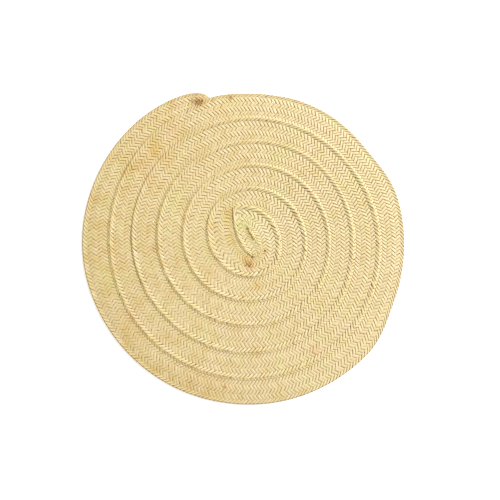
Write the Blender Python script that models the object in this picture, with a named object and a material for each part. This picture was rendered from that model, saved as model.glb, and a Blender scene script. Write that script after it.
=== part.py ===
# Round straw mat: one long flat plait of palm leaf, coiled clockwise, as seen from above, from a
# small leaf-shaped eye, and laced edge to edge. Each seam stands up as a low ridge, and the plait's
# end tapers off at the rim. The mat lies on its flat underside at z = 0, and the origin is at the
# middle of that underside.

import bmesh
import bpy
import numpy as np

MM = 0.001

# Heights above the surface that the mat lies on, in millimetres
SEAM_TOP = 5.2
PLAIT_TOP = 3.6
PLAIT_CROWN = 0.35
RIM_TOP = 2.6

# Share of the plait's width that a seam's ridge or the rim's rounding takes up on each side
RIDGE_SHARE = 0.24

# Shares of the plait's width, from its inner to its outer edge, where a section has its points
ACROSS = (0.0, 0.09, 0.22, 0.5, 0.78, 0.91, 1.0)

# The coil is measured from its pole. A sweep is the angle in degrees that the plait has turned
# through, clockwise, since its outer edge first lay straight to the left of the pole.
PLAIT_START = -100
PLAIT_END = 2235
STATION_STEP = 5
ONE_ROUND = 360

# Outer edge of the plait round the eye: sweep in degrees, distance from the pole in millimetres
EYE_EDGE = (
    # sweep, radius
    (-100, 27.4),
    (-78, 16.6),
    (-45, 13.0),
    (-10, 13.9),
    (28, 23.3),
    (48, 38.2),
    (59, 53.1),
    (65, 64.3),
    (75, 62.0),
    (90, 59.1),
    (119, 53.1),
    (135, 51.4),
    (166, 48.5),
    (183, 49.7),
    (209, 54.8),
    (227, 57.9),
    (248, 58.9),
    (270, 58.9),
    (315, 59.5),
)

# Outer edge of the plait on each later round: distance from the pole in millimetres
SEAM_ROUNDS = (
    # left, upper left, top, upper right, right, lower right, bottom, lower left
    (69.0, 85.2, 92.0, 93.0, 95.5, 100.2, 99.8, 105.4),
    (112.7, 122.9, 131.4, 134.9, 135.8, 142.2, 142.2, 148.2),
    (156.8, 164.5, 171.9, 176.5, 176.5, 185.5, 188.5, 191.9),
    (200.9, 207.3, 211.6, 213.7, 221.0, 230.4, 232.6, 236.4),
)

# Outer edge of the last round and of the tapered end: sweep, distance from the pole
RIM_EDGE = (
    # sweep, radius
    (1800, 239.0),
    (1845, 246.3),
    (1865, 249.7),
    (1877, 256.5),
    (1899, 254.8),
    (1920, 255.5),
    (1941, 253.9),
    (1962, 263.2),
    (1983, 264.2),
    (2003, 267.1),
    (2023, 278.3),
    (2043, 277.9),
    (2072, 278.1),
    (2100, 280.5),
    (2129, 283.7),
    (2157, 286.5),
    (2187, 283.7),
    (2207, 281.7),
    (2217, 279.8),
    (2227, 275.2),
    (2232, 267.3),
)

# The slit in the eye, where the plait doubles back on itself: from just past its tucked start to
# the top of its first turn, in millimetres from the pole
SLIT = (
    # x, y
    (14.2, -23.6),
    (19.4, -14.6),
    (13.7, -5.1),
    (8.6, 2.6),
    (2.6, 12.9),
    (-2.6, 22.3),
)

# Which share of the slit, from its start, lies across the plait from its outer edge
SLIT_SHARES = (
    # sweep, share of the slit
    (-100, 0.0),
    (-89, 0.17),
    (-78, 0.34),
    (-45, 0.5),
    (-10, 0.62),
    (28, 0.8),
    (48, 0.93),
    (59, 1.0),
    (106, 1.0),
    (124, 0.93),
    (147, 0.8),
    (169, 0.62),
    (190, 0.42),
    (208, 0.28),
    (235, 0.12),
    (260, 0.0),
)
SLIT_STEPS = 10

# Sweeps between which the seam's ridge sinks to the height of the rim
SEAM_RUNS_OUT = (1860, 1895)

STRAW = (0.74, 0.58, 0.29, 1.0)
STRAW_ROUGHNESS = 0.62


def smooth_through(rows, at):
    """A smooth curve through the rows' points that doesn't overshoot them."""
    x, y = np.array(rows, float).T
    step = np.diff(x)
    slope = np.diff(y) / step
    turning = slope[:-1] * slope[1:] <= 0
    total = np.where(turning, 1.0, slope[:-1] + slope[1:])
    inner = np.where(turning, 0.0, 2 * slope[:-1] * slope[1:] / total)
    tangent = np.concatenate([slope[:1], inner, slope[-1:]])
    i = np.clip(np.searchsorted(x, at) - 1, 0, len(step) - 1)
    u = np.clip((at - x[i]) / step[i], 0, 1)
    start = y[i] * (1 + 2 * u) + tangent[i] * step[i] * u
    finish = y[i + 1] * (3 - 2 * u) - tangent[i + 1] * step[i] * (1 - u)
    return start * (1 - u) ** 2 + finish * u**2


def edge_rows():
    """Every sweep and radius of the plait's outer edge, from the eye to the rim."""
    rounds = [
        (ONE_ROUND * (turn + 1) + ONE_ROUND * side / len(row), radius)
        for turn, row in enumerate(SEAM_ROUNDS)
        for side, radius in enumerate(row)
    ]
    rows = list(EYE_EDGE) + rounds + list(RIM_EDGE)
    last_seam = smooth_through(rows, np.array([PLAIT_END - ONE_ROUND]))[0]
    return rows + [(PLAIT_END, last_seam)]


def edge_height(sweep):
    """The seam's ridge is SEAM_TOP high, and the rim RIM_TOP, with a fall where the seam ends."""
    first, last = SEAM_RUNS_OUT
    fall = np.clip((sweep - first) / (last - first), 0, 1)
    fall = fall * fall * (3 - 2 * fall)
    return SEAM_TOP + (RIM_TOP - SEAM_TOP) * fall


def outer_edge(sweep):
    """Points on the plait's outer edge, a spiral about the pole."""
    radius = smooth_through(edge_rows(), sweep)
    angle = np.radians(180 - sweep)
    return np.stack([radius * np.cos(angle), radius * np.sin(angle), edge_height(sweep)], axis=1)


def slit_edge(sweep):
    """Points on the slit across from the first round, at whole steps along it."""
    share = np.interp(sweep, *np.array(SLIT_SHARES).T)
    share = np.round(share * SLIT_STEPS) / SLIT_STEPS
    slit = np.concatenate([outer_edge(np.array([PLAIT_START]))[:, :2], SLIT])
    run = np.concatenate([[0.0], np.cumsum(np.hypot(*np.diff(slit, axis=0).T))])
    x, y = (np.interp(share * run[-1], run, line) for line in slit.T)
    return np.stack([x, y, np.full_like(x, SEAM_TOP)], axis=1)


def inner_edge(sweep):
    """The plait's inner edge: the slit at first, and then the outer edge one round before."""
    first_round = sweep < PLAIT_START + ONE_ROUND
    return np.where(first_round[:, None], slit_edge(sweep), outer_edge(sweep - ONE_ROUND))


def raised(distance):
    """A ridge's form: 1 at its crest, falling to 0 where it meets the plait."""
    return np.cos(np.clip(distance / RIDGE_SHARE, 0, 1) * np.pi / 2) ** 2


def top_grid(inner, outer):
    """Points of the top: a row for each station, from the inner to the outer edge."""
    share = np.array(ACROSS)[None, :, None]
    grid = inner[:, None, :] * (1 - share) + outer[:, None, :] * share
    share = share[:, :, 0]
    inner_ridge = (inner[:, 2:] - PLAIT_TOP) * raised(share)
    outer_ridge = (outer[:, 2:] - PLAIT_TOP) * raised(1 - share)
    crown = PLAIT_CROWN * np.sin(np.pi * share)
    grid[:, :, 2] = PLAIT_TOP + crown + inner_ridge + outer_ridge
    return grid


def grid_faces(first, rows, columns, upwards):
    """Faces between neighbouring points of a grid, whose numbers start at first."""
    corner = first + np.arange(rows - 1)[:, None] * columns + np.arange(columns - 1)[None, :]
    faces = np.stack([corner, corner + 1, corner + columns + 1, corner + columns], axis=-1)
    faces = faces.reshape(-1, 4)
    return faces if upwards else faces[:, ::-1]


def coiled_plait_mesh():
    """A closed mesh: the ridged top, the flat underside, and the wall of the rim between them."""
    sweep = np.arange(PLAIT_START, PLAIT_END + STATION_STEP, STATION_STEP, dtype=float)
    outer = outer_edge(sweep)
    inner = inner_edge(sweep)
    top = top_grid(inner, outer)
    under = np.stack([inner, outer], axis=1)
    under[:, :, 2] = 0.0
    top[0] = inner[0]
    top[-1] = inner[-1]
    wall = np.stack([top[:, -1], under[:, -1]], axis=1)[sweep >= PLAIT_END - ONE_ROUND]
    points, faces = [], []
    for grid, upwards in ((top, True), (under, False), (wall, True)):
        first = sum(len(p) for p in points)
        faces.append(grid_faces(first, grid.shape[0], grid.shape[1], upwards))
        points.append(grid.reshape(-1, 3))
    points = np.concatenate(points)
    lowest, highest = points.min(axis=0), points.max(axis=0)
    points[:, :2] -= (lowest[:2] + highest[:2]) / 2
    mesh = bpy.data.meshes.new("coiled_plait")
    mesh.from_pydata((points * MM).tolist(), [], np.concatenate(faces).tolist())
    return mesh


def close_mesh(mesh):
    """Joins the edges that neighbouring rounds share, and drops the faces that this flattens."""
    work = bmesh.new()
    work.from_mesh(mesh)
    bmesh.ops.remove_doubles(work, verts=work.verts, dist=0.00002)
    bmesh.ops.dissolve_degenerate(work, edges=work.edges, dist=0.00001)
    bmesh.ops.recalc_face_normals(work, faces=work.faces)
    work.to_mesh(mesh)
    work.free()


def straw_material():
    """Dried palm leaf."""
    material = bpy.data.materials.new("straw")
    material.use_nodes = True
    shader = material.node_tree.nodes["Principled BSDF"]
    shader.inputs["Base Color"].default_value = STRAW
    shader.inputs["Roughness"].default_value = STRAW_ROUGHNESS
    shader.inputs["Metallic"].default_value = 0.0
    return material


def main():
    for old in list(bpy.data.objects):
        bpy.data.objects.remove(old)
    collection = bpy.data.collections.new("straw_mat")
    bpy.context.scene.collection.children.link(collection)
    mesh = coiled_plait_mesh()
    close_mesh(mesh)
    mesh.materials.append(straw_material())
    mesh.shade_smooth()
    collection.objects.link(bpy.data.objects.new("coiled_plait", mesh))


main()
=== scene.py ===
import math
import bpy
import numpy as np
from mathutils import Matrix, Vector


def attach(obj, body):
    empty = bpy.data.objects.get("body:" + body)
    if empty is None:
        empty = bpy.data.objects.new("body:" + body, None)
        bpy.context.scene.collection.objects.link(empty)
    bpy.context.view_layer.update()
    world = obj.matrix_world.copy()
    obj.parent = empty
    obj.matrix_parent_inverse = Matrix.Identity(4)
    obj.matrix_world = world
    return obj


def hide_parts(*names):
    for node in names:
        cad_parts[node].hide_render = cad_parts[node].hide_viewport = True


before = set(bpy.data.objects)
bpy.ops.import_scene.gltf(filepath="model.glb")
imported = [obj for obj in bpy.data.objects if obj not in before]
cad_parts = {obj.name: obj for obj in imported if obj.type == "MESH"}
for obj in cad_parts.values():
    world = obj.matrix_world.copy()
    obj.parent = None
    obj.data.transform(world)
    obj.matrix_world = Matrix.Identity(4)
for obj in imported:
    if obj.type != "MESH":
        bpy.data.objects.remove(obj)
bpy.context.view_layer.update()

# Round straw mat: one plait of split palm leaf, 13 strips wide, coiled from a leaf-shaped eye.
# Lengths are in metres, apart from the tables of the coil, the marks and the broken ends, in mm.
mm = 0.001
seed = 7
tiny = 1e-9  # so that nothing is divided by 0
random = np.random.default_rng(seed)


def smoothThrough(rows, at):
    # cubic pieces. The slope at a row is the harmonic mean of the slopes beside it, 0 where it turns
    x, y = np.array(rows, float).T
    step = np.diff(x)
    slope = np.diff(y) / step
    turning = slope[:-1] * slope[1:] <= 0
    total = np.where(turning, 1.0, slope[:-1] + slope[1:])
    between = np.where(turning, 0.0, 2 * slope[:-1] * slope[1:] / total)
    tangent = np.concatenate([slope[:1], between, slope[-1:]])
    i = np.clip(np.searchsorted(x, at) - 1, 0, len(step) - 1)
    u = np.clip((at - x[i]) / step[i], 0, 1)
    start = y[i] * (1 + 2 * u) + tangent[i] * step[i] * u
    finish = y[i + 1] * (3 - 2 * u) - tangent[i + 1] * step[i] * (1 - u)
    return start * (1 - u) ** 2 + finish * u**2


def easeStep(x):
    # 0 below 0, 1 above 1, and 3x^2 - 2x^3 between
    x = np.clip(x, 0, 1)
    return x * x * (3 - 2 * x)


def easeBetween(x, ends):
    # 0 before the first end, 1 after the second, eased between them
    return easeStep((x - ends[0]) / (ends[1] - ends[0]))


def blend(a, b, share):
    # a where the share is 0, b where it is 1
    return a + (b - a) * share


def unit(vectors):
    # each row divided by its length
    return vectors / np.maximum(np.linalg.norm(vectors, axis=1), tiny)[:, None]


def drift(at, every, size):
    # smooth noise: random values at equal spaces, joined by eased steps
    knots = random.normal(0, size, int(at.max() / every) + 3)
    i = (at / every).astype(int)
    return blend(knots[i], knots[i + 1], easeStep(at / every - i))


# The coil, measured from its pole. A sweep is how many degrees the plait has turned, clockwise
# from the left of the pole. A radius is the distance from the pole to its outer edge.
coil = {
    "startSweep": -100.0,
    "endSweep": 2235.0,
    "oneRound": 360.0,
    "stationStep": 0.25,
    "leastMove": 1e-7,  # so that length always grows from station to station
    "eyeEdge": [  # sweep, radius
        (-100, 27.4), (-78, 16.6), (-45, 13.0), (-10, 13.9), (28, 23.3), (48, 38.2), (59, 53.1),
        (65, 64.3), (75, 62.0), (90, 59.1), (119, 53.1), (135, 51.4), (166, 48.5), (183, 49.7),
        (209, 54.8), (227, 57.9), (248, 58.9), (270, 58.9), (315, 59.5),
    ],
    "seamRounds": [  # left, upper left, top, upper right, right, lower right, bottom, lower left
        (69.0, 85.2, 92.0, 93.0, 95.5, 100.2, 99.8, 105.4),
        (112.7, 122.9, 131.4, 134.9, 135.8, 142.2, 142.2, 148.2),
        (156.8, 164.5, 171.9, 176.5, 176.5, 185.5, 188.5, 191.9),
        (200.9, 207.3, 211.6, 213.7, 221.0, 230.4, 232.6, 236.4),
    ],
    "rimEdge": [  # sweep, radius
        (1800, 239.0), (1845, 246.3), (1865, 249.7), (1877, 254.8), (1890, 253.0),
        (1899, 253.2), (1908, 254.9), (1920, 255.5), (1941, 253.9), (1962, 263.2),
        (1983, 264.2), (2003, 267.1), (2023, 278.3), (2043, 277.9), (2072, 278.1),
        (2100, 280.5), (2129, 283.7), (2157, 286.5), (2187, 283.7), (2207, 281.3),
        (2217, 279.0), (2227, 274.0), (2232, 266.6),
    ],
    "slit": [  # x, y of the line that the first round closes on, from the plait's start
        (14.2, -23.6), (19.4, -14.6), (13.7, -5.1), (8.6, 2.6), (2.6, 12.9), (-2.6, 22.3),
    ],
    "slitShares": [  # sweep, share of the slit's length that lies across the plait
        (-100, 0.0), (-89, 0.17), (-78, 0.34), (-45, 0.5), (-10, 0.62), (28, 0.8), (48, 0.93),
        (59, 1.0), (106, 1.0), (124, 0.93), (147, 0.8), (169, 0.62), (190, 0.42), (208, 0.28),
        (235, 0.12), (260, 0.0),
    ],
}


def coilStations():
    # outer edge = pole + radius(sweep) * (cos, sin)(180 - sweep); inner edge = the outer edge one
    # round before, or the slit; along = running length of the line midway between them. The plait
    # tapers to nothing, as its last outer edge comes in to the round before
    turn = coil["oneRound"]
    rounds = [
        (turn * (i + 1) + turn * k / len(row), radius)
        for i, row in enumerate(coil["seamRounds"])
        for k, radius in enumerate(row)
    ]
    rows = coil["eyeEdge"] + rounds + coil["rimEdge"]
    lastRadius = smoothThrough(rows, np.array([coil["endSweep"] - turn]))[0]
    rows = rows + [(coil["endSweep"], lastRadius)]

    def edge(at):
        # radius read at each sweep, times its direction
        angle = np.radians(180 - at)
        return smoothThrough(rows, at)[:, None] * np.column_stack([np.cos(angle), np.sin(angle)])

    gap = coil["stationStep"]
    sweep = np.arange(coil["startSweep"], coil["endSweep"] + gap / 2, gap)
    outer = edge(sweep)
    slit = np.concatenate([outer[:1], coil["slit"]])
    run = np.concatenate([[0.0], np.cumsum(np.hypot(*np.diff(slit, axis=0).T))])
    share = smoothThrough(coil["slitShares"], sweep) * run[-1]
    across = np.column_stack([np.interp(share, run, line) for line in slit.T])
    early = (sweep < coil["startSweep"] + turn)[:, None]
    inner = np.where(early, across, edge(np.maximum(sweep - turn, coil["startSweep"])))
    middle = (outer.min(axis=0) + outer.max(axis=0)) / 2
    outer, inner = (outer - middle) * mm, (inner - middle) * mm
    moved = np.hypot(*np.diff((outer + inner) / 2, axis=0).T)
    along = np.concatenate([[0.0], np.cumsum(np.maximum(moved, coil["leastMove"]))])
    return {
        "sweep": sweep,
        "outer": outer,
        "inner": inner,
        "along": along,
        "outerSpeed": np.gradient(outer, along, axis=0),
        "innerSpeed": np.gradient(inner, along, axis=0),
    }


def lookUp(stations, name, at):
    # linear look-up of a station value by length along the plait
    value = stations[name]
    if value.ndim == 1:
        return np.interp(at, stations["along"], value)
    return np.column_stack([np.interp(at, stations["along"], line) for line in value.T])


# The plait. A strip crosses one row in each step along the plait, and turns back at row 0, the
# plait's inner edge, and at the last row, its outer edge. Seen from above it goes over two rows
# and under two. Where the eye is too tight for the plait, its inner part lies folded underneath.
plait = {
    "strips": 13,
    "lastRow": 13,
    "rowsApart": 2,  # rows from the start of one strip to that of the next
    "step": 3.125 * mm,  # along the plait for one row
    "flatWidth": 53.3 * mm,  # edge to edge, off the mat
    "columnRows": [0.0, 2.5, 4.5, 6.5, 8.5, 10.5, 13.0],
    "columnShares": [0.0, 0.13, 0.30, 0.505, 0.685, 0.865, 1.0],  # of the way out to the edge
    "changeRows": [2.5, 4.5, 6.5, 8.5, 10.5, 15.5, 17.5, 19.5, 21.5, 23.5],
    "changeWidth": 0.9,  # rows
    "foldSamples": [0.0, 0.17, 0.36, 0.6],
    "changeSamples": [-0.42, -0.14, 0.14, 0.42],
    "midwaySamples": [1.3, 3.5, 5.5, 7.5, 9.5, 11.6],
    "rowDrift": (0.011, 0.11),  # metres from one change to the next, how many rows
    "liftDrift": (0.017, 0.10),
    "steadyRows": 0.5,  # rows beside a fold that don't drift
    "midHeight": 2.6 * mm,
    "crown": 0.3 * mm,
    "pressedBelow": 0.8 * mm,
    "lift": 0.25 * mm,
    "crestLift": 2.3 * mm,
    "crestReach": 7.6 * mm,
    "crestOver": 1.5 * mm,
    "crestRoll": 1.2 * mm,
    "tuckedLift": 2.05 * mm,
    "tuckedReach": 7.6 * mm,
    "tuckedUnder": 2.2 * mm,
    "tuckedRoll": 0.3 * mm,
    "turnIn": 4.0 * mm,
    "reliefPower": 1.2,
    "rimLift": 1.5 * mm,
    "rimReach": 4.8 * mm,
    "rimRoll": 0.55 * mm,
    "rimDroop": 0.9 * mm,
    "rimSweeps": (1850.0, 1890.0),
    "fullRelief": 16 * mm,
    "leastRelief": 0.2,
    "eyeLift": 1.3,
    "eyeSweeps": (250.0, 430.0),
    "slitSweeps": (215.0, 262.0),
    "slitTurnSweep": 62.0,
    "slitRise": (0.8 * mm, 1.1 * mm),  # up to the turn, after it
    "slitReach": 4.6 * mm,
    "foldRows": 1.0,
    "foldRadius": 0.95 * mm,
    "tightest": 42.0 * mm,
    "mostFolded": 1.95,
    "leastSpeed": 0.15,
    "stretches": 3,
}
lastRow = plait["lastRow"]
thereAndBack = 2 * lastRow


def stripSamples(first, last):
    # sections lie close together at each fold and at each change, and once midway between changes
    fold = np.array(plait["foldSamples"])
    changesOut = [row for row in plait["changeRows"] if row < lastRow]
    changes = np.add.outer(changesOut, plait["changeSamples"]).ravel()
    once = np.sort(np.concatenate([fold, lastRow - fold[1:], changes, plait["midwaySamples"]]))
    crossings = np.arange(math.floor(first / lastRow), math.ceil(last / lastRow))
    samples = np.add.outer(crossings * lastRow, once).ravel()
    return samples[(samples >= first) & (samples <= last)]


def rowsFromInner(rows):
    # a strip's row count goes on as it turns back, so the row is a triangle wave of it
    return lastRow - np.abs(np.mod(rows, thereAndBack) - lastRow)


def rowsFromEdge(rows):
    # rows to the nearer edge of the plait: a triangle wave that comes back every crossing
    return lastRow / 2 - np.abs(np.mod(rows, lastRow) - lastRow / 2)


def foldTurn(rows):
    # angle that a strip has rolled over: 0 going out, half a turn going in, eased at each fold
    fromFold = np.mod(rows, thereAndBack) - lastRow
    rolled = easeStep(fromFold / plait["foldRows"] + 0.5)
    unrolled = easeStep((np.abs(fromFold) - lastRow) / plait["foldRows"] + 0.5)
    return np.pi * (rolled + np.where(fromFold < 0, unrolled, -unrolled))


def overUnder(rows):
    # -1 under and 1 over, on the strip's own face: the sum of eased steps of alternating sign
    at = np.mod(rows, thereAndBack)[:, None]
    change = np.array(plait["changeRows"])[None, :]
    sign = np.where(np.arange(change.size) % 2 == 0, 2.0, -2.0)[None, :]
    return (sign * easeStep((at - change) / plait["changeWidth"] + 0.5)).sum(axis=1) - 1


def lyingUnder(rows):
    # 1 where the strip lies under another as seen from above, 0 where it shows
    return np.clip(-overUnder(rows) * np.cos(foldTurn(rows)), 0, 1)


def nearEdge(distance, reach):
    # 1 at the edge, 0 from the reach on, and (1 - distance / reach)^power between
    return np.clip(1 - distance / reach, 0, 1) ** plait["reliefPower"]


def foldedAcross(reach, width):
    # how far from the outer edge, how far down and how far turned a plait lies that has to fold
    # under itself at the inner edge: straight, then half a circle, then straight back
    radius = plait["foldRadius"]
    turned = np.clip((reach - width) / radius, 0, np.pi)
    back = np.maximum(reach - width - np.pi * radius, 0)
    place = np.minimum(reach, width) + radius * np.sin(turned) - back
    return place, radius * (1 - np.cos(turned)), turned


def rowShare(rows):
    # the share of the plait's width that lies inside a row, read from the columns' boundaries
    return smoothThrough(list(zip(plait["columnRows"], plait["columnShares"])), rowsFromInner(rows))


def surfaceWidth(width):
    # the plait's own width, which is more than the room for it where it lies folded under
    return np.minimum(np.maximum(width, plait["tightest"]), plait["mostFolded"] * width)


def edgeRelief(sweep, width, share):
    # how far the edges stand over or under, how high a strip is lifted, and how far out it rolls at
    # a fold. The lift is the common one, more towards the crest on the outer edge, and more towards
    # the tucked inner edge
    rim = easeBetween(sweep, plait["rimSweeps"])
    slit = 1 - easeBetween(sweep, plait["slitSweeps"])
    eye = 1 - easeBetween(sweep, plait["eyeSweeps"])
    narrow = np.clip(width / plait["fullRelief"], plait["leastRelief"], 1)
    fromInner = share * surfaceWidth(width)
    fromOuter = (1 - share) * surfaceWidth(width)
    over = nearEdge(fromOuter, plait["turnIn"]) * plait["crestOver"] * (1 - rim) * narrow
    under = nearEdge(fromInner, plait["turnIn"]) * plait["tuckedUnder"] * narrow * (1 - slit)
    reach = blend(plait["crestReach"], plait["rimReach"], rim)
    crest = nearEdge(np.maximum(fromOuter - over, 0), reach)
    tuck = nearEdge(np.abs(fromInner - under), plait["tuckedReach"])
    tuck = tuck * np.clip(1 + (fromInner - under) / plait["tuckedUnder"], 0, 1)
    common = plait["lift"] * blend(1, plait["eyeLift"], eye)
    lift = blend(common, plait["tuckedLift"], tuck)
    lift = lift + (blend(plait["crestLift"], plait["rimLift"], rim) - common) * crest
    outerRoll = blend(plait["crestRoll"], plait["rimRoll"], rim)
    roll = np.where(share > 0.5, outerRoll, plait["tuckedRoll"])
    return under - over, lift * narrow, roll * narrow


def middleHeight(sweep, width, share):
    # middle layer = height + crown * 4s(1 - s) - droop at the rim + rise beside the slit, where
    # the rise falls as exp(-(distance / reach)^2)
    rim = easeBetween(sweep, plait["rimSweeps"])
    slit = 1 - easeBetween(sweep, plait["slitSweeps"])
    fromSlit = np.maximum(width - (1 - share) * surfaceWidth(width), 0) / plait["slitReach"]
    rise = np.where(sweep > plait["slitTurnSweep"], plait["slitRise"][1], plait["slitRise"][0])
    height = plait["midHeight"] + plait["crown"] * 4 * share * (1 - share)
    height = height - plait["rimDroop"] * rim * easeStep((share - 0.5) * 2)
    return height, rise * slit * np.exp(-(fromSlit**2))


def plaitPoints(stations, at, rows, wave, lifted, out):
    # place = outer edge - distance from it, height = middle + lift * over-or-under. At a strip's
    # own fold the lift turns from up, through outwards, to down, and so does "out", the distance
    # from the strip's middle layer
    share = rowShare(rows)
    inner, outer = lookUp(stations, "inner", at), lookUp(stations, "outer", at)
    sweep = lookUp(stations, "sweep", at)
    width = np.hypot(*(outer - inner).T)
    outward = np.column_stack([unit(outer - inner), np.zeros(len(at))])
    upward = np.array([[0.0, 0.0, 1.0]])
    moved, lift, roll = edgeRelief(sweep, width, share)
    height, rise = middleHeight(sweep, width, share)
    place, down, bent = foldedAcross((1 - share) * surfaceWidth(width), width)
    height = height - down + rise * np.cos(bent / 2)
    acrossNow = outward * np.cos(bent)[:, None] + upward * np.sin(bent)[:, None]
    upNow = upward * np.cos(bent)[:, None] - outward * np.sin(bent)[:, None]
    turned = foldTurn(rows)
    points = np.column_stack([outer, height]) - outward * (place + moved)[:, None]
    points = points + acrossNow * ((roll * wave + out) * np.sin(turned))[:, None]
    return points + upNow * ((lift * lifted * wave + out) * np.cos(turned))[:, None]


def pressFlat(points):
    # the floor flattens the underside: below the height h, z becomes h * exp(z / h - 1)
    low = plait["pressedBelow"]
    z = points[..., 2]
    points[..., 2] = np.where(z < low, low * np.exp(np.minimum(z / low, 1) - 1), z)


# One strip of split leaf. It is crowned along its middle, and lies a little tilted, so that it laps
# over the next strip on one side.
leaf = {
    "fill": 1.03,  # width over the distance to the next strip
    "foldFill": 0.98,
    "fillRows": (0.1, 1.3),
    "slideRows": (0.7, 1.8),
    "slopeRows": 0.3,
    "leastAcross": 0.01 * mm,
    "steepest": 3.0,
    "widest": 6.0 * mm,
    "narrowest": 0.8 * mm,
    "thickness": 0.30 * mm,
    "crown": 0.10 * mm,
    "tilt": 0.25 * mm,
    "usualWidth": 4.9 * mm,
    "widthDrift": (0.05, 0.07),
    "underFill": 0.16,
    # rows of painted warm shade in the seams' grooves, from the inner edge and from the outer fold
    "innerShadeRows": 2.0,
    "outerShadeRows": 0.45,
    # rows of painted shade on the outer fold along the rim
    "rimShadeRows": 0.4,
    "lengths": (0.16, 0.34),  # metres
    "joinRows": (1.5, 4.0, 0.15),  # first, every, within
    "joinUnder": 0.95,
    "joinSections": 2,
    "joinLift": 0.28 * mm,
    "sectionAcross": [-1.0, -0.55, 0.55, 1.0, 0.55, -0.55],
    "sectionThick": [0.0, 1.0, 1.0, 0.0, -1.0, -1.0],  # shares of half a width and half a thickness
    "mapAcross": [0.0, 0.22, 0.78, 1.0, 0.78, 0.22],
    "mapStretch": 1.65,  # texture units for a metre of leaf
}
ring = len(leaf["sectionAcross"])
# values kept for each section: where a strip lies under another, painted shade in the seams' grooves,
# painted shade on the rim
stripValues = ("lyingUnder", "plaitEdge", "matRim")


def bandAcross(stations, at, rows):
    # half the strip's width, square to it, and how far a point on its edge lies ahead in rows and
    # back along the plait. Along and across are its steps for one row, and the width is fill *
    # the distance to the next strip. A section lies square to the strip, and near a fold it is
    # slid along the strip until it lies along the crease
    share = rowShare(rows)
    fromEdge = rowsFromEdge(rows)
    near = leaf["slopeRows"]
    inside = np.clip(rowsFromInner(rows), near, lastRow - near)
    width = np.hypot(*(lookUp(stations, "outer", at) - lookUp(stations, "inner", at)).T)
    across = surfaceWidth(width) * (rowShare(inside + near) - rowShare(inside - near)) / (2 * near)
    innerSpeed, outerSpeed = lookUp(stations, "innerSpeed", at), lookUp(stations, "outerSpeed", at)
    speed = np.hypot(*blend(innerSpeed, outerSpeed, share[:, None]).T)
    along = plait["step"] * np.maximum(speed, plait["leastSpeed"])
    slant = np.hypot(along, across)
    fill = blend(leaf["foldFill"], leaf["fill"], easeBetween(fromEdge, leaf["fillRows"]))
    half = np.clip(along * across / slant * fill, leaf["narrowest"] / 2, leaf["widest"] / 2)
    half = half * (1 + drift(at, *leaf["widthDrift"]))
    half = half * (1 + leaf["underFill"] * lyingUnder(rows))
    slid = 1 - easeBetween(fromEdge, leaf["slideRows"])
    steep = np.clip(along / np.maximum(across, leaf["leastAcross"]), 0, leaf["steepest"])
    back = half / slant * (across / along + slid * steep) * plait["step"]
    return half, half / slant * steep * (1 - slid), back


def buildStrip(stations, number):
    # a strip is a flat band in the plait's own surface, which wraps round both edges of the plait,
    # so that it creases along the edge. Each strip starts two rows after the one before. Its face
    # lies half a thickness out, less crown * side^2, less tilt * side
    first = plait["rowsApart"] * number
    rows = stripSamples(-first, stations["along"][-1] / plait["step"] - first)
    at = (rows + first) * plait["step"]
    free = np.clip(rowsFromEdge(rows) - plait["steadyRows"], 0, 1)
    rows = rows + drift(at, *plait["rowDrift"]) * free
    wave = overUnder(rows)
    half, ahead, back = bandAcross(stations, at, rows)
    lifted = 1 + drift(at, *plait["liftDrift"])
    side, face = np.array(leaf["sectionAcross"]), np.array(leaf["sectionThick"])
    bend = np.clip(half * 2 / leaf["usualWidth"], 0, 1)[:, None]
    out = face * leaf["thickness"] / 2 - wave[:, None] * bend * leaf["crown"] * side * side
    out = out - bend * leaf["tilt"] * side
    points = plaitPoints(
        stations,
        (at[:, None] - back[:, None] * side).ravel(),
        (rows[:, None] + ahead[:, None] * side).ravel(),
        np.repeat(wave, ring),
        np.repeat(lifted, ring),
        out.ravel(),
    )
    fromInner = rowsFromInner(rows)
    fromOuter = lastRow - fromInner
    # painted warm shade in the groove beside each seam, near the tucked inner edge and at the crest's
    # outer fold
    seam = np.clip(1 - fromInner / leaf["innerShadeRows"], 0, 1)
    seam = seam + np.clip(1 - fromOuter / leaf["outerShadeRows"], 0, 1)
    atRim = easeBetween(lookUp(stations, "sweep", at), plait["rimSweeps"])
    return {
        "at": at,
        "rows": rows,
        "sections": points.reshape(-1, ring, 3),
        "outside": wave * np.cos(foldTurn(rows)),
        "lyingUnder": lyingUnder(rows),
        "plaitEdge": seam,
        # painted shade on the outer fold along the rim
        "matRim": np.clip(1 - fromOuter / leaf["rimShadeRows"], 0, 1) * atRim,
    }


def leafStretches(strip):
    # a new leaf is laid in where the last one runs out, each a random length, in the middle of a
    # stretch that lies under, where the two lap over each other
    at = strip["at"]
    shortest, longest = leaf["lengths"]
    cuts = np.cumsum(random.uniform(shortest, longest, int(at[-1] / shortest) + 1))
    cuts = cuts[cuts < at[-1] - shortest]
    first, every, within = leaf["joinRows"]
    fromMiddle = np.abs(np.mod(strip["rows"] % lastRow - first + every / 2, every) - every / 2)
    places = np.flatnonzero((strip["lyingUnder"] > leaf["joinUnder"]) & (fromMiddle < within))
    index = np.unique(places[np.searchsorted(at[places], cuts)])
    starts = np.concatenate([[0], index])
    ends = np.concatenate([index, [len(at)]])
    lap = leaf["joinSections"]
    return [(max(start - lap, 0), min(end + lap, len(at))) for start, end in zip(starts, ends)]


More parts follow.
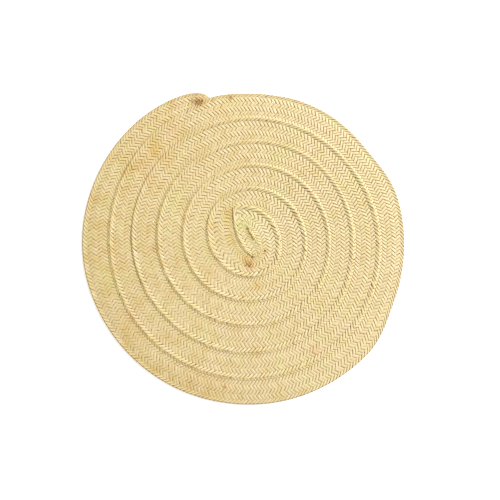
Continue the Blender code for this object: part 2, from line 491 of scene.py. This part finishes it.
def cutLeaf(strip, start, end):
    # one leaf of a strip, with its own tone and warmth. Over a join the new leaf's start lies
    # inside, and the old leaf's end outside
    lap = 2 * leaf["joinSections"]
    sections = strip["sections"][start:end].copy()
    apart = (strip["outside"][start:end] * leaf["joinLift"])[:, None]
    if end < len(strip["at"]):
        sections[-lap:, :, 2] += apart[-lap:]
    if start > 0:
        sections[:lap, :, 2] -= apart[:lap] / 2
    pressFlat(sections)
    tone, warmth = random.normal(0, 1, 2)
    return {
        "sections": sections,
        "leafTone": np.full(end - start, tone),
        "leafWarmth": np.full(end - start, warmth),
        "ownBrown": np.zeros(end - start),
        **{name: strip[name][start:end] for name in ("at", *stripValues)},
    }


# Marks on the mat: x, y and radius in mm from its middle, then strength.
marks = {
    "brownMark": [
        (-76, 252, 10, 0.6), (-71, 252, 4, 0.5), (-21, 259, 5, 0.6), (-51, 253, 3, 0.5),
        (-120, 246, 6, 0.4), (-32, -237, 2.5, 1.0), (8, -26, 8, 0.6), (16, -32, 5, 0.4),
        (15, -16, 2.4, 1.2), (37, -4, 1.6, 2.2), (-23, 67, 5, 0.35), (89, 59, 4, 0.5),
        (-152, -1, 6, 0.5), (122, -172, 12, 0.25), (-165, 145, 25, 0.16), (-120, 200, 20, 0.15),
        (-60, -235, 30, 0.15), (-190, -120, 22, 0.12),
    ],
    "greenMark": [
        (-6, 42, 13, 0.6), (11, 50, 14, 0.5), (-210, 38, 9, 0.4), (10, 10, 32, 0.25),
        (-120, 90, 20, 0.25), (60, 160, 25, 0.25), (150, -60, 24, 0.2), (-80, -150, 26, 0.2),
        (-230, -60, 14, 0.3), (190, 90, 24, 0.2), (-50, 252, 5, 0.6),
    ],
    # golden marks: partly golden tint, partly painted shade in the grooves beside the eye's ridge,
    # along the slit and inside the rim at the lower left
    "goldenMarkAndShade": [
        (-25, 50, 7, 0.8), (-24, 36, 6, 0.8), (-22, 23, 6, 0.8), (-16, 9, 6, 0.8), (-8, -4, 6, 0.8),
        (2, -17, 7, 0.8), (-198, -158, 12, 0.35), (-177, -186, 12, 0.35), (-152, -206, 12, 0.45),
        (-122, -223, 12, 0.45), (-95, -236, 12, 0.4), (-60, -246, 11, 0.4), (-235, -80, 13, 0.3),
        (-150, 175, 16, 0.5), (-185, 140, 14, 0.4), (20, -65, 12, 0.4), (-60, -40, 14, 0.4),
        (-27, 60, 7, 0.5), (18, -22, 6, 0.5), (12, 30, 5, 0.6), (20, 19, 5, 0.6), (28, 8, 5, 0.5),
    ],
    "paleMark": [(12, 34, 34, 0.8), (40, 12, 24, 0.3)],
}


def markAmount(points, rows):
    # sum of strength * exp(-(distance / radius)^2)
    places = np.array(rows, float)
    away = points[:, None, :2] / mm - places[None, :, :2]
    near = np.exp(-(away**2).sum(axis=2) / places[None, :, 2] ** 2)
    return (near * places[None, :, 3]).sum(axis=1)


def tubeFaces(first, sections):
    # quads between neighbouring sections of a tube of six points a section, and two quads to close
    # each end of it
    here = np.arange(ring)
    after = (here + 1) % ring
    base = first + np.arange(sections - 1)[:, None] * ring
    quads = np.stack([base + here, base + after, base + ring + after, base + ring + here], axis=-1)
    start = first + np.array([[5, 2, 1, 0], [5, 4, 3, 2]])
    finish = first + (sections - 1) * ring + np.array([[0, 1, 2, 5], [2, 3, 4, 5]])
    return np.concatenate([quads.reshape(-1, 4), start, finish])


def meshFrom(name, points, quads, uv, values):
    # fills a mesh straight from arrays: corners, quads, one UV per corner, named values per corner
    mesh = bpy.data.meshes.new(name)
    mesh.vertices.add(len(points))
    mesh.vertices.foreach_set("co", points.ravel().astype(np.float32))
    mesh.loops.add(quads.size)
    mesh.loops.foreach_set("vertex_index", quads.ravel().astype(np.int32))
    mesh.polygons.add(len(quads))
    mesh.polygons.foreach_set("loop_start", np.arange(0, quads.size, 4, dtype=np.int32))
    mesh.polygons.foreach_set("use_smooth", np.ones(len(quads), bool))
    mesh.update(calc_edges=True)
    layer = mesh.uv_layers.new(name="alongLeaf")
    layer.uv.foreach_set("vector", uv[quads.ravel()].ravel().astype(np.float32))
    for key, value in values.items():
        attribute = mesh.attributes.new(key, "FLOAT", "POINT")
        attribute.data.foreach_set("value", value.astype(np.float32))
    mesh.validate()
    piece = bpy.data.objects.new(name, mesh)
    bpy.context.scene.collection.objects.link(piece)
    print(name, len(quads) * 2, "triangles")
    return piece


def joinLeaves(name, leaves):
    # one mesh of many closed leaves. Each brings a value for each section, and the marks add theirs
    def perPoint(key):
        # the leaves' values one after the other, each repeated for the points of its section
        return np.repeat(np.concatenate([one[key] for one in leaves]), ring)

    points = np.concatenate([one["sections"].reshape(-1, 3) for one in leaves])
    counts = [len(one["sections"]) for one in leaves]
    firsts = np.cumsum([0] + counts[:-1]) * ring
    quads = np.concatenate([tubeFaces(first, count) for first, count in zip(firsts, counts)])
    along = perPoint("at") * leaf["mapStretch"] + perPoint("leafTone")
    uv = np.column_stack([along, np.tile(leaf["mapAcross"], sum(counts))])
    values = {key: perPoint(key) for key in ("leafTone", "leafWarmth", *stripValues)}
    values.update({key: markAmount(points, rows) for key, rows in marks.items()})
    values["brownMark"] = values["brownMark"] + perPoint("ownBrown")
    return meshFrom(name, points, quads, uv, values)


def buildPlait(stations):
    # every strip as closed leaves, shared out to pieces by stretch of the plait and by strip
    total = stations["along"][-1]
    shared = {}
    for number in range(plait["strips"]):
        strip = buildStrip(stations, number)
        group = "a" if number <= plait["strips"] // 2 else "b"
        for start, end in leafStretches(strip):
            middle = strip["at"][(start + end) // 2]
            stretch = min(int(plait["stretches"] * middle / total), plait["stretches"] - 1)
            shared.setdefault((stretch, group), []).append(cutLeaf(strip, start, end))
    return {
        (stretch, group): joinLeaves(f"leafStrips_{stretch + 1}{group}", leaves)
        for (stretch, group), leaves in sorted(shared.items())
    }


# Broken brown ends of leaf stick out where the plait ends and where it starts. Each patch: x, y and
# z in mm, how many, spread in mm, heading in degrees.
ends = {
    "patches": [
        (-76, 252, 4.2, 32, 4.5, -25),
        (-21, 258, 2.6, 7, 2.5, -60),
        (8, -27, 3.4, 6, 3.0, 100),
    ],
    "spreadShares": (1.0, 0.6, 0.08),
    "headingSpread": 38.0,
    "sideTilt": 0.3,
    "lengths": (4.0 * mm, 10.0 * mm),
    "halfWidth": 0.52 * mm,
    "widthShares": (0.5, 1.2),
    "bluntness": 0.04,
    "rise": 1.6 * mm,
    "riseShares": (0.2, 1.0),
    "sections": 7,
    "ownBrown": (-0.4, 0.4),
}


def buildEnds():
    # each end runs straight through its place, arched by rise * 4u(1 - u), and its width falls as
    # the root of 1 + bluntness - u
    rows = np.repeat(np.array(ends["patches"], float), [row[3] for row in ends["patches"]], axis=0)
    count, sections = len(rows), ends["sections"]
    place = rows[:, :3] * mm
    place = place + random.normal(0, 1, (count, 3)) * rows[:, 4:5] * mm * ends["spreadShares"]
    heading = np.radians(rows[:, 5] + random.normal(0, ends["headingSpread"], count))
    ahead = np.column_stack([np.cos(heading), np.sin(heading), np.zeros(count)])
    tilt = random.normal(0, ends["sideTilt"], count)
    aside = np.column_stack([-np.sin(heading), np.cos(heading), tilt])
    length = random.uniform(*ends["lengths"], count)[:, None]
    rise = random.uniform(*ends["riseShares"], count)[:, None] * ends["rise"]
    half = random.uniform(*ends["widthShares"], count)[:, None] * ends["halfWidth"]
    u = np.linspace(0, 1, sections)[None, :]
    upward = np.array([0.0, 0.0, 1.0])
    middle = place[:, None, :] + (length * (u - 0.5))[..., None] * ahead[:, None, :]
    middle = middle + (rise * 4 * u * (1 - u))[..., None] * upward
    side, face = np.array(leaf["sectionAcross"]), np.array(leaf["sectionThick"])
    half = half * np.sqrt(1 + ends["bluntness"] - u)
    sideways = half[:, :, None, None] * side[:, None] * aside[:, None, None, :]
    thick = (face * leaf["thickness"] / 2)[:, None] * upward
    points = middle[:, :, None, :] + sideways + thick
    tones = random.normal(0, 1, count)
    browns = random.uniform(*ends["ownBrown"], count)
    plain = np.zeros(sections)
    leaves = [
        {
            "sections": one,
            "at": u[0] * ends["lengths"][1],
            "leafTone": plain + tone,
            "leafWarmth": plain,
            "ownBrown": plain + brown,
            **{name: plain for name in stripValues},
        }
        for one, tone, brown in zip(points, tones, browns)
    ]
    return joinLeaves("leafEnds", leaves)


# Colours are linear. A leaf's colour lies between pale and deep straw, by its own tone, the fibres
# along it and fine specks. Broad patches, the marks and its own warmth shift it. Painted shade makes
# it darker where it lies under another leaf, at its edges and on the rim, warmer in the seams'
# grooves, and more golden towards the left.
straw = {
    "pale": (0.695, 0.585, 0.37, 1),
    "deep": (0.53, 0.405, 0.19, 1),
    # golden: the colour of real golden patches, and of painted shade on the left side and in some
    # grooves
    "goldenTintAndShade": (0.56, 0.41, 0.15, 1),
    "green": (0.58, 0.535, 0.235, 1),
    "orange": (0.52, 0.25, 0.065, 1),
    "brown": (0.17, 0.075, 0.02, 1),
    # colour of the painted warm shade in the seams' grooves
    "seam": (0.62, 0.44, 0.13, 1),
    "shade": (0.33, 0.21, 0.07, 1),
    "fibreScale": (26.0, 7.0, 1.0),  # along the leaf, across it
    "fibreDetail": 3.0,
    "patchScale": 42.0,
    "patchDetail": 3.0,
    "speckScale": 330.0,
    "speckDetail": 2.0,
    "fibreShare": 0.55,
    "speckShare": 0.35,
    "toneShare": 0.07,
    "deepFrom": -0.05,
    "warmthShare": 0.08,
    # painted shade: the left side, away from the lamp, is more golden
    "leftShadeGolden": 1.1,  # more golden for each metre to the left
    "goldenGain": 1.9,
    "goldenFrom": -0.85,
    "greenGain": 2.2,
    "greenFrom": -1.1,
    # share of the painted warm shade in the seams' grooves
    "seamShare": 0.8,
    "speckledGain": 3.0,
    "speckledFrom": -0.5,
    "darkestFrom": 0.55,
    "darkestGain": 1.6,
    # darkening at the leaf's edges: partly edge browning, partly painted shade in the gaps between
    # strips
    "edgePower": 6.0,
    "edgeShare": 0.25,
    # painted shade where a leaf lies under another
    "underShadeShare": 0.5,
    # share of the painted shade on the rim's outer fold
    "rimShadeShare": 1.3,
    "roughness": 0.55,
    "gloss": 0.3,
    "fibreBump": 0.25,
    "fibreHeight": 0.2 * mm,
}


def newNode(tree, kind, values=None, links=None, **settings):
    # makes a shader node, sets its options and inputs, and joins earlier outputs to its inputs
    node = tree.nodes.new(kind)
    for name, value in settings.items():
        setattr(node, name, value)
    for key, value in (values or {}).items():
        node.inputs[key].default_value = value
    for key, output in (links or {}).items():
        tree.links.new(output, node.inputs[key])
    return node


def noise(tree, scale, detail, vector):
    # fractal noise about 0.5, read at scale * vector
    return newNode(tree, "ShaderNodeTexNoise", {"Scale": scale, "Detail": detail}, {"Vector": vector})


def strawMaterial():
    # colour = mix of pale and deep by fibres, specks and tone. Over it go pale marks, then golden and
    # green patches and marks. The golden ones are partly painted shade, more golden to the left and in
    # some grooves. Next come painted warm shade in the seams' grooves and orange and brown marks
    # broken up by specks. Last comes painted shade under other leaves and on the rim, and at the
    # leaf's edges, where it is partly edge browning. Fibres also raise veins
    material = bpy.data.materials.new("palmLeaf")
    material.use_nodes = True
    tree = material.node_tree
    shader = tree.nodes["Principled BSDF"]
    leafMap = newNode(tree, "ShaderNodeUVMap", uv_map="alongLeaf").outputs["UV"]
    place = newNode(tree, "ShaderNodeTexCoord").outputs["Object"]

    def painted(name):
        # a value that the mesh carries at each corner
        return newNode(tree, "ShaderNodeAttribute", attribute_name=name).outputs["Fac"]

    def maths(kind, a, b, c=0.0):
        # one step of arithmetic on numbers or earlier outputs
        node = newNode(tree, "ShaderNodeMath", operation=kind)
        for socket, value in zip(node.inputs, (a, b, c)):
            if isinstance(value, float):
                socket.default_value = value
            else:
                tree.links.new(value, socket)
        return node.outputs[0]

    def timesPlus(a, b, c):
        # a * b + c
        return maths("MULTIPLY_ADD", a, b, c)

    def mixed(factor, a, b):
        # a + (b - a) * factor, with the factor kept between 0 and 1
        node = newNode(tree, "ShaderNodeMix", data_type="RGBA", clamp_factor=True)
        for socket, value in ((node.inputs[0], factor), (node.inputs[6], a), (node.inputs[7], b)):
            if isinstance(value, (float, tuple)):
                socket.default_value = value
            else:
                tree.links.new(value, socket)
        return node.outputs[2]

    stretched = newNode(tree, "ShaderNodeMapping", {"Scale": straw["fibreScale"]}, {"Vector": leafMap})
    fibre = noise(tree, 1.0, straw["fibreDetail"], stretched.outputs[0]).outputs["Fac"]
    speck = noise(tree, straw["speckScale"], straw["speckDetail"], place).outputs["Fac"]
    patch = noise(tree, straw["patchScale"], straw["patchDetail"], place).outputs["Color"]
    patches = newNode(tree, "ShaderNodeSeparateColor", links={0: patch}).outputs
    toRight = newNode(tree, "ShaderNodeSeparateXYZ", links={0: place}).outputs[0]
    across = newNode(tree, "ShaderNodeSeparateXYZ", links={0: leafMap}).outputs[1]

    amount = timesPlus(painted("leafTone"), straw["toneShare"], straw["deepFrom"])
    amount = timesPlus(fibre, straw["fibreShare"], amount)
    amount = timesPlus(speck, straw["speckShare"], amount)
    colour = mixed(amount, straw["pale"], straw["deep"])
    colour = mixed(painted("paleMark"), colour, straw["pale"])

    goldenTintAndShade = timesPlus(patches[0], straw["goldenGain"], straw["goldenFrom"])
    goldenTintAndShade = timesPlus(painted("leafWarmth"), straw["warmthShare"], goldenTintAndShade)
    # painted shade: more golden towards the left, the side away from the lamp
    goldenTintAndShade = maths("MAXIMUM", timesPlus(toRight, -straw["leftShadeGolden"], goldenTintAndShade), 0.0)
    colour = mixed(maths("ADD", goldenTintAndShade, painted("goldenMarkAndShade")), colour, straw["goldenTintAndShade"])

    green = maths("MAXIMUM", timesPlus(patches[1], straw["greenGain"], straw["greenFrom"]), 0.0)
    colour = mixed(maths("ADD", green, painted("greenMark")), colour, straw["green"])
    # painted warm shade in the grooves beside the seams
    seam = maths("MULTIPLY", painted("plaitEdge"), straw["seamShare"])
    colour = mixed(seam, colour, straw["seam"])

    broken = timesPlus(speck, straw["speckledGain"], straw["speckledFrom"])
    speckled = maths("MULTIPLY", painted("brownMark"), broken)
    colour = mixed(speckled, colour, straw["orange"])
    darkest = maths("SUBTRACT", speckled, straw["darkestFrom"])
    darkest = maths("MULTIPLY", darkest, straw["darkestGain"])
    colour = mixed(maths("MAXIMUM", darkest, 0.0), colour, straw["brown"])

    # darker at the leaf's edges: partly edge browning, partly painted shade between strips
    fromMiddle = maths("MULTIPLY", maths("ABSOLUTE", maths("SUBTRACT", across, 0.5), 0.0), 2.0)
    darker = maths("MULTIPLY", maths("POWER", fromMiddle, straw["edgePower"]), straw["edgeShare"])
    # painted shade where the leaf lies under another
    darker = timesPlus(painted("lyingUnder"), straw["underShadeShare"], darker)
    # painted shade on the rim's outer fold
    darker = timesPlus(painted("matRim"), straw["rimShadeShare"], darker)
    colour = mixed(darker, colour, straw["shade"])

    height = {"Strength": straw["fibreBump"], "Distance": straw["fibreHeight"]}
    bump = newNode(tree, "ShaderNodeBump", height, {"Height": fibre})
    tree.links.new(colour, shader.inputs["Base Color"])
    tree.links.new(bump.outputs["Normal"], shader.inputs["Normal"])
    shader.inputs["Roughness"].default_value = straw["roughness"]
    shader.inputs["Specular IOR Level"].default_value = straw["gloss"]
    return material


stations = coilStations()
print("plait", round(stations["along"][-1], 4), "m long")
pieces = buildPlait(stations)
leafEnds = buildEnds()
palmLeaf = strawMaterial()
print("material", palmLeaf.name, "with", len(palmLeaf.node_tree.nodes), "nodes")
for piece in [*pieces.values(), leafEnds]:
    piece.data.materials.append(palmLeaf)
    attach(piece, "root")
    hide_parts("coiled_plait")

# What the camera sees and its light. A pixel is the mat's width over its width in pixels.
studio = {
    "pixel": 550.0 / 321 * mm,
    "view": 500,
    "centre": (6.7, -1.4),  # pixels to the right of and above the mat's middle
    "distance": 2.6,
    "sensor": 36.0,  # in the camera's own mm
    "keyPower": 250.0,
    "keySize": 0.9,
    "keyDistance": 4.0,
    "keyTurn": 34.0,  # degrees from the right towards the back
    "keyRise": 30.0,
    "keyColour": (0.98, 1.0, 1.06),
    "skyFill": 0.72,
    "skyColour": (1.0, 0.94, 0.80, 1),
    "floorSize": 30.0,
    "floorColour": (0.9, 0.9, 0.9, 1),
    "floorRoughness": 0.9,
    "floorGlow": 0.35,
    "floorGlowColour": (1, 1, 1, 1),
}


def placeFloor():
    # a pale floor at height 0, glowing a little so that it stays white
    bpy.ops.mesh.primitive_plane_add(size=studio["floorSize"])
    floor = bpy.context.object
    floor.name = "floor"
    material = bpy.data.materials.new("paleFloor")
    material.use_nodes = True
    shader = material.node_tree.nodes["Principled BSDF"]
    shader.inputs["Base Color"].default_value = studio["floorColour"]
    shader.inputs["Roughness"].default_value = studio["floorRoughness"]
    shader.inputs["Emission Color"].default_value = studio["floorGlowColour"]
    shader.inputs["Emission Strength"].default_value = studio["floorGlow"]
    floor.data.materials.append(material)


def placeCamera():
    # looks straight down; lens = sensor * distance / the width seen at the mat
    camera = bpy.data.objects.new("camera", bpy.data.cameras.new("camera"))
    camera.data.sensor_width = studio["sensor"]
    camera.data.lens = studio["sensor"] * studio["distance"] / (studio["pixel"] * studio["view"])
    right, up = studio["centre"]
    camera.location = (right * studio["pixel"], up * studio["pixel"], studio["distance"])
    bpy.context.scene.collection.objects.link(camera)
    bpy.context.scene.camera = camera


def placeLights():
    # one low lamp to the upper right, at keyDistance * (cos turn cos rise, sin turn cos rise, sin
    # rise), and a warm even sky
    lamp = bpy.data.objects.new("keyLight", bpy.data.lights.new("keyLight", "AREA"))
    turn, rise = math.radians(studio["keyTurn"]), math.radians(studio["keyRise"])
    level = math.cos(rise)
    toLamp = Vector((math.cos(turn) * level, math.sin(turn) * level, math.sin(rise)))
    lamp.data.energy = studio["keyPower"]
    lamp.data.size = studio["keySize"]
    lamp.data.color = studio["keyColour"]
    lamp.location = toLamp * studio["keyDistance"]
    lamp.rotation_euler = toLamp.to_track_quat("Z", "Y").to_euler()
    bpy.context.scene.collection.objects.link(lamp)
    world = bpy.data.worlds.new("studio")
    world.use_nodes = True
    sky = world.node_tree.nodes["Background"]
    sky.inputs["Color"].default_value = studio["skyColour"]
    sky.inputs["Strength"].default_value = studio["skyFill"]
    bpy.context.scene.world = world


placeFloor()
placeCamera()
placeLights()
bpy.context.scene.view_settings.view_transform = "Standard"
print("studio placed")
